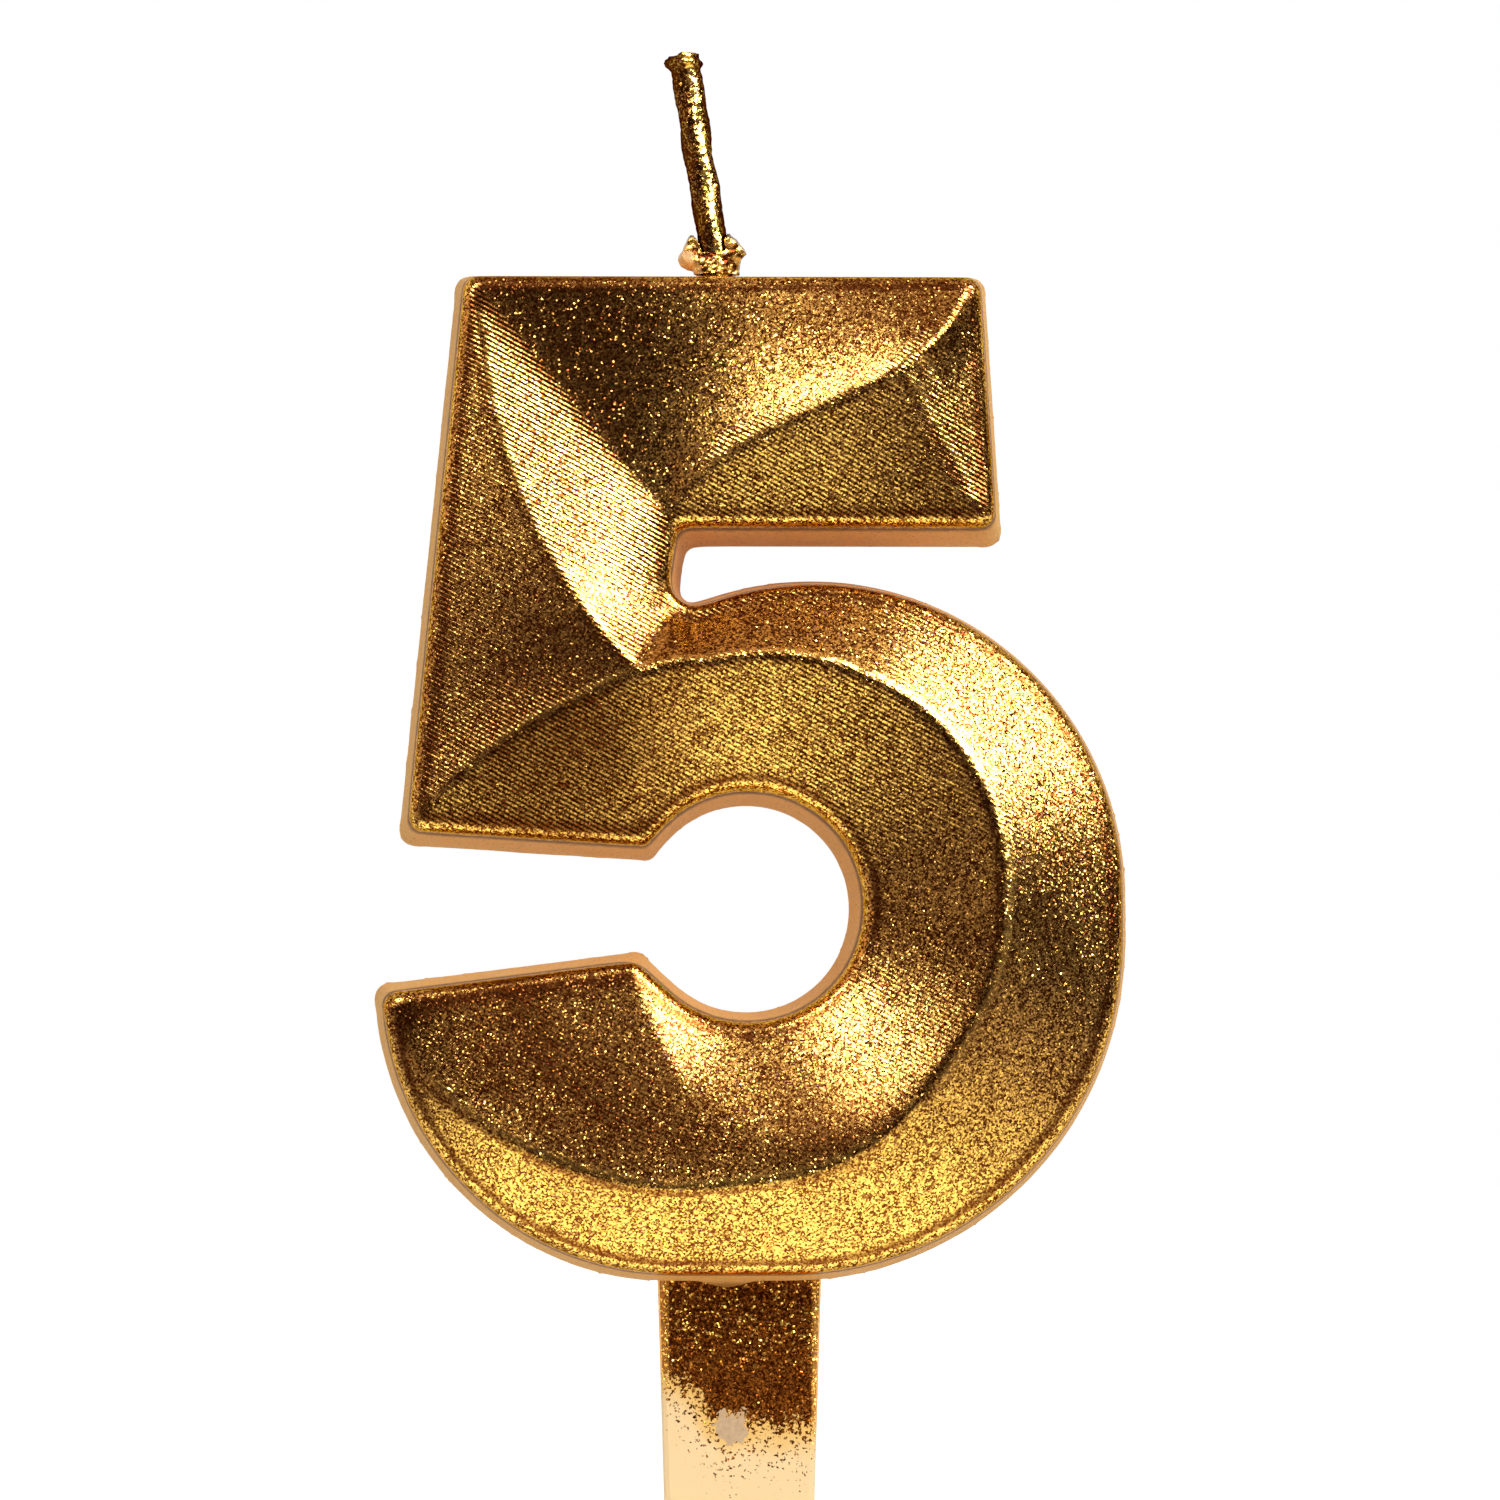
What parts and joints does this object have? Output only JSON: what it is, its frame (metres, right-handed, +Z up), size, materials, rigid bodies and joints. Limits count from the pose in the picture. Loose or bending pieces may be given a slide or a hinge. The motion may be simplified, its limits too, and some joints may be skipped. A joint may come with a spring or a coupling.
{
  "type": "number candle",
  "caption": "Moulded number candle, digit 5, with a folded faceted front in a rounded rim, a cut wick in its wax seal and a flat pick that stands it in a cake.",
  "frame": {"origin": "on the centre line of the pick, level with the underside of the digit, in the parting plane of the digit: where the candle meets the surface of a cake", "axes": "+Z up, towards the wick; +X to the right as the digit is read; +Y from the faceted front to the flat back"},
  "size_m": [0.0522, 0.0139, 0.1297],
  "materials": {
    "gold_wax": "satin metallic gold lacquer on wax",
    "gold_wick": "satin metallic gold lacquer on cotton",
    "seal_wax": "satin wax, partly coated in gold",
    "pick_plastic": "satin cream plastic, coated in gold near the digit"
  },
  "bodies": {
    "root": {"digit_body": "gold_wax", "wick": "gold_wick", "wick_seal": "seal_wax", "cake_pick": "pick_plastic"}
  },
  "joints": []
}
